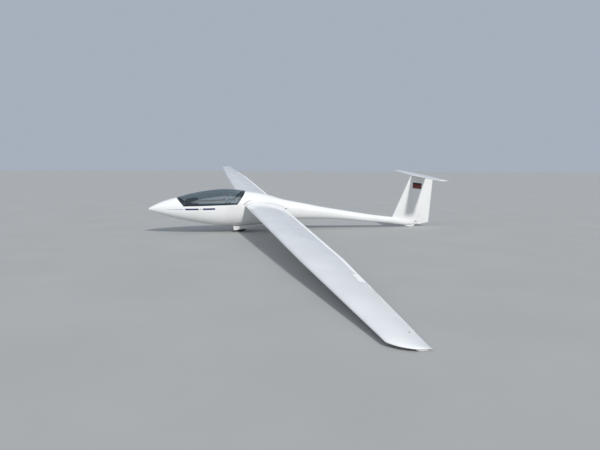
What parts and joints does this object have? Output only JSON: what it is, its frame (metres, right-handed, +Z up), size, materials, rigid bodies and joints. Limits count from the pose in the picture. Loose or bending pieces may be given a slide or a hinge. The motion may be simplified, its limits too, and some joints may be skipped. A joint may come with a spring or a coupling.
{
  "type": "sailplane",
  "caption": "Single-seat sailplane with T-tail, opening canopy, airbrakes and wheel, parked on one wing tip.",
  "frame": {"origin": "on the ground under the middle of the bounding box", "axes": "X forward along the fuselage, Y to port along the span, Z up; the aircraft leans on its port wing tip"},
  "size_m": [6.9026, 14.9254, 1.5458],
  "materials": {
    "gelcoat": "gloss white gelcoat",
    "canopy_pane": "smoke tinted acrylic",
    "dark_trim": "matt black",
    "cockpit_shell": "speckled grey",
    "cushion": "woven",
    "tyre": "ribbed",
    "alloy": "satin",
    "steel": "satin",
    "brake_blue": "blue paint"
  },
  "bodies": {
    "airframe": {"fuselage": "gelcoat", "tail_fin": "gelcoat", "tailplane": "gelcoat", "wing_left": "gelcoat", "wing_right": "gelcoat", "tip_skid_left": "gelcoat", "tip_skid_right": "gelcoat", "tail_skid": "gelcoat", "seat_pan": "cockpit_shell", "seat_cushion": "cushion", "back_cushion": "cushion", "headrest": "cushion", "instrument_pedestal": "cockpit_shell", "instrument_pod": "dark_trim", "instrument_panel": "dark_trim", "control_stick": "dark_trim", "rudder_pedals": "alloy", "airbrake_lever": "brake_blue", "gear_lever": "dark_trim", "main_axle": "steel", "gear_fork": "steel", "drag_strut": "steel", "tow_hook": "steel", "canopy_hinge_front": "steel", "canopy_hinge_rear": "steel"},
    "canopy": {"canopy_frame": "dark_trim", "canopy_glass": "canopy_pane", "canopy_latch": "alloy"},
    "main_wheel": {"main_tyre": "tyre", "main_wheel_hub": "alloy"},
    "rudder": {"rudder": "gelcoat"},
    "elevator": {"elevator": "gelcoat"},
    "aileron_left": {"aileron_left": "gelcoat"},
    "aileron_right": {"aileron_right": "gelcoat"},
    "airbrake_left": {"airbrake_left": "gelcoat"},
    "airbrake_right": {"airbrake_right": "gelcoat"},
    "gear_door_left": {"gear_door_left": "gelcoat"},
    "gear_door_right": {"gear_door_right": "gelcoat"}
  },
  "joints": [
    {"name": "canopy_lift", "type": "hinge", "parent": "airframe", "child": "canopy", "pos_m": [2.20132, -0.32356, 0.69574], "axis": [0.9993, 0.0234, -0.0304], "range_deg": [0, 80]},
    {"name": "wheel_spin", "type": "hinge", "parent": "airframe", "child": "main_wheel", "pos_m": [1.41113, -0.06145, 0.17445], "axis": [0, -0.995, 0.1004], "continuous": true},
    {"name": "rudder_turn", "type": "hinge", "parent": "airframe", "child": "rudder", "pos_m": [-3.12393, -0.07582, 0.03195], "axis": [-0.1015, 0.0998, 0.9898], "range_deg": [-30, 30]},
    {"name": "elevator_tilt", "type": "hinge", "parent": "airframe", "child": "elevator", "pos_m": [-3.13143, 1.21652, 1.18609], "axis": [0, -0.995, 0.1004], "range_deg": [-22, 22]},
    {"name": "aileron_right_tilt", "type": "hinge", "parent": "airframe", "child": "aileron_right", "pos_m": [0.80859, -5.45719, 1.28548], "axis": [0.0579, -0.9909, 0.1211], "range_deg": [-20, 20]},
    {"name": "aileron_left_tilt", "type": "hinge", "parent": "airframe", "child": "aileron_left", "pos_m": [0.80859, 5.44748, 0.18564], "axis": [0.0579, 0.9952, -0.0792], "range_deg": [-20, 20]},
    {"name": "airbrake_left_rise", "type": "slide", "parent": "airframe", "child": "airbrake_left", "axis": [0.0003, 0.0821, 0.9966], "range_m": [0, 0.068]},
    {"name": "airbrake_right_rise", "type": "slide", "parent": "airframe", "child": "airbrake_right", "axis": [0.0003, 0.1185, 0.9929], "range_m": [0, 0.068]},
    {"name": "gear_door_left_swing", "type": "hinge", "parent": "airframe", "child": "gear_door_left", "pos_m": [1.60613, 0.05292, 0.16242], "axis": [0.9963, 0.0863, 0.0006], "range_deg": [-8, 20]},
    {"name": "gear_door_right_swing", "type": "hinge", "parent": "airframe", "child": "gear_door_right", "pos_m": [1.60613, -0.17592, 0.1855], "axis": [-0.9963, 0.0845, -0.0178], "range_deg": [-8, 20]}
  ],
  "couplings": [
    {"joint": "aileron_left_tilt", "follows": "aileron_right_tilt", "ratio": 1},
    {"joint": "airbrake_right_rise", "follows": "airbrake_left_rise", "ratio": 1}
  ]
}
